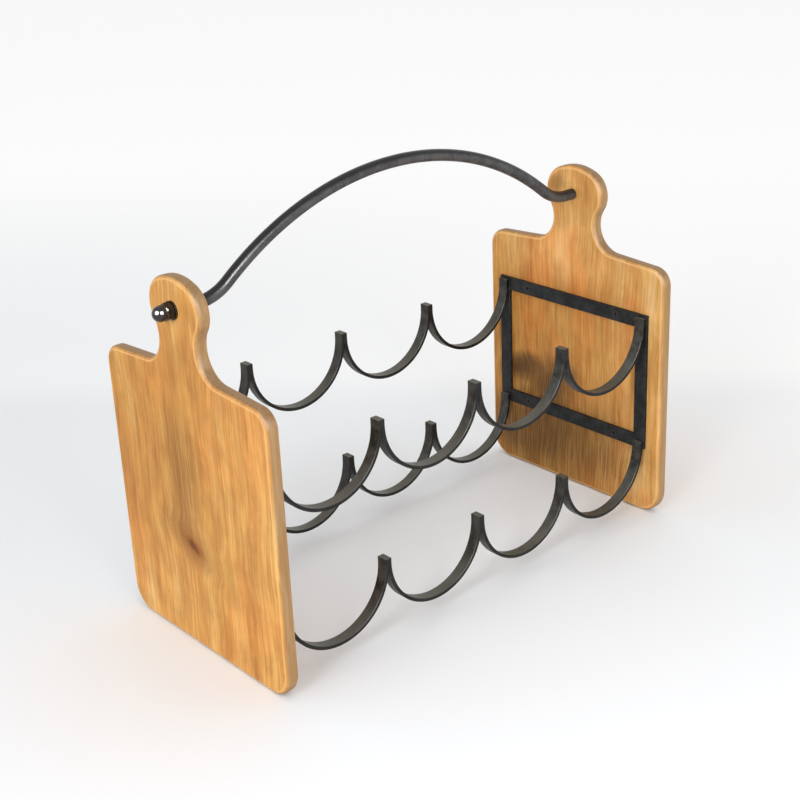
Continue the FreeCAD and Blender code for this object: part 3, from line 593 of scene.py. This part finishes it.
def look_from(position, target, roll):
    """The placing of a camera that looks at a point, turned about its own line of sight."""
    forward = (target - position).normalized()
    right = forward.cross(Vector((0, 0, 1))).normalized()
    up = right.cross(forward)
    side = math.cos(roll) * right + math.sin(roll) * up
    top = -math.sin(roll) * right + math.cos(roll) * up
    turn = Matrix((side, top, -forward)).transposed().to_4x4()
    return Matrix.Translation(position) @ turn


def add_camera():
    azimuth, elevation = math.radians(CAMERA_TURN), math.radians(CAMERA_TILT)
    target = Vector(CAMERA_TARGET)
    back = Vector((math.sin(azimuth) * math.cos(elevation), -math.cos(azimuth) * math.cos(elevation),
                   math.sin(elevation)))
    data = bpy.data.cameras.new("photo_view")
    data.sensor_width = SENSOR_WIDTH
    data.lens = FOCAL_LENGTH / PICTURE_WIDTH * SENSOR_WIDTH
    camera = bpy.data.objects.new("photo_view", data)
    bpy.context.scene.collection.objects.link(camera)
    camera.matrix_world = look_from(target + CAMERA_DISTANCE * back, target, math.radians(CAMERA_ROLL))
    bpy.context.scene.camera = camera


def add_lamp(name, place, size, power):
    """A square soft lamp that faces the lit point."""
    data = bpy.data.lights.new(name, "AREA")
    data.size = size
    data.energy = power
    lamp = bpy.data.objects.new(name, data)
    bpy.context.scene.collection.objects.link(lamp)
    lamp.matrix_world = look_from(Vector(place), Vector(LIT_POINT), 0.0)
    return lamp


def add_card(name, place, size, power):
    """A bright card that shows in shiny surfaces only."""
    card = add_lamp(name, place, size, power)
    card.visible_diffuse = False
    return card


def choose_lit(lamp, piece, state):
    """Makes a lamp light one piece only (INCLUDE) or every piece but one (EXCLUDE)."""
    group = bpy.data.collections.new(lamp.name + "_receivers")
    group.objects.link(piece)
    group.collection_objects[0].light_linking.link_state = state
    lamp.light_linking.receiver_collection = group


def add_lights(grip, nut):
    """Lamps and cards. The left card leaves the grip out, and the nut cards light one cap nut only."""
    for lamp in LAMPS:
        add_lamp(*lamp)
    left_card = add_card(*LEFT_CARD)
    add_card(*FRONT_CARD)
    choose_lit(left_card, grip, "EXCLUDE")
    for card in NUT_CARDS:
        choose_lit(add_card(*card), nut, "INCLUDE")


def add_world():
    world = bpy.data.worlds.new("room")
    world.use_nodes = True
    background = world.node_tree.nodes["Background"]
    background.inputs["Color"].default_value = (1.0, 1.0, 1.0, 1.0)
    background.inputs["Strength"].default_value = WORLD_STRENGTH
    bpy.context.scene.world = world
    bpy.context.scene.view_settings.view_transform = "Standard"


# Floor

FLOOR_HALF = 6.0
FLOOR_AWAY, FLOOR_ASIDE = (0.70, 0.71, 0.0), (0.71, -0.70, 0.0)
# Painted shade greys the floor behind the rack and to its left, and painted light brightens it to the
# right
FLOOR_NEAR, FLOOR_PAINTED_SHADE_BEHIND = (0.955, 0.965, 0.98), (0.84, 0.85, 0.86)
FLOOR_PAST_EDGE, FLOOR_FAR = (0.92, 0.92, 0.92), (0.99, 0.99, 0.99)
FLOOR_PAINTED_SHADE_LEFT, FLOOR_PAINTED_LIGHT_RIGHT = (0.905, 0.918, 0.930), (1.02, 1.02, 1.02)
# Between which distances one shade turns into the next
BEHIND_SPAN, EDGE_SPAN, FAR_SPAN, ASIDE_SPAN = (-0.45, 0.10), (0.33, 0.46), (0.5, 1.6), (-0.6, 0.4)
FLOOR_ROUGH, FLOOR_SHINE = 0.7, 0.1


def floor_material():
    """White, greyed by painted shade behind the rack and to its left, lifted by painted light to its
    right, and white again beyond the table's far edge.
    """
    material, tree, shader = new_material("white_floor")
    place = node(tree, "TexCoord").outputs["Object"]
    away = how_far(tree, place, FLOOR_AWAY)
    colour = blend(tree, spread(tree, away, *BEHIND_SPAN), FLOOR_NEAR, FLOOR_PAINTED_SHADE_BEHIND)
    colour = blend(tree, spread(tree, away, *EDGE_SPAN), colour, FLOOR_PAST_EDGE)
    aside = how_far(tree, place, FLOOR_ASIDE)
    painted_side_light = blend(tree, spread(tree, aside, *ASIDE_SPAN), FLOOR_PAINTED_SHADE_LEFT, FLOOR_PAINTED_LIGHT_RIGHT)
    colour = blend(tree, 1.0, colour, painted_side_light, "MULTIPLY")
    colour = blend(tree, spread(tree, away, *FAR_SPAN), colour, FLOOR_FAR)
    connect(tree, shader, Base_Color=colour)
    shader.inputs["Roughness"].default_value = FLOOR_ROUGH
    shader.inputs["Specular IOR Level"].default_value = FLOOR_SHINE
    return material


def add_floor():
    """A flat square table top."""
    mesh = bpy.data.meshes.new("floor")
    half = FLOOR_HALF
    corners = [(-half, -half, 0), (half, -half, 0), (half, half, 0), (-half, half, 0)]
    mesh.from_pydata(corners, [], [(0, 1, 2, 3)])
    mesh.materials.append(floor_material())
    floor = bpy.data.objects.new("floor", mesh)
    bpy.context.scene.collection.objects.link(floor)


# The scene

add_camera()
left_wood = wood_material("wood_left", LEFT_LOOK)
right_wood = wood_material("wood_right", RIGHT_LOOK)
strap_iron = iron_material("black_iron", STRAP_LOOK)
frame_iron = iron_material("black_iron_frame", FRAME_LOOK)
grip_iron = iron_material("black_iron_grip", GRIP_LOOK)
screw_black = screw_material()
fittings = fittings_material()
for entry in frame["record"]["subparts"]:
    name, slot = entry["node"], entry["material_slot"]
    if slot == "wood":
        paint(name, left_wood if name.startswith("left") else right_wood)
    elif slot == "black_fittings":
        paint(name, fittings)
    elif slot == "black_screws":
        cut_screws(name, screw_black)
    elif name == "handle_bar":
        grip = round_grip(name, grip_iron)
    elif name.startswith("cradle"):
        soften(name, strap_iron)
    else:
        soften(name, frame_iron)
add_world()
add_lights(grip, frame["nodes"]["left_cap_nut"])
add_floor()
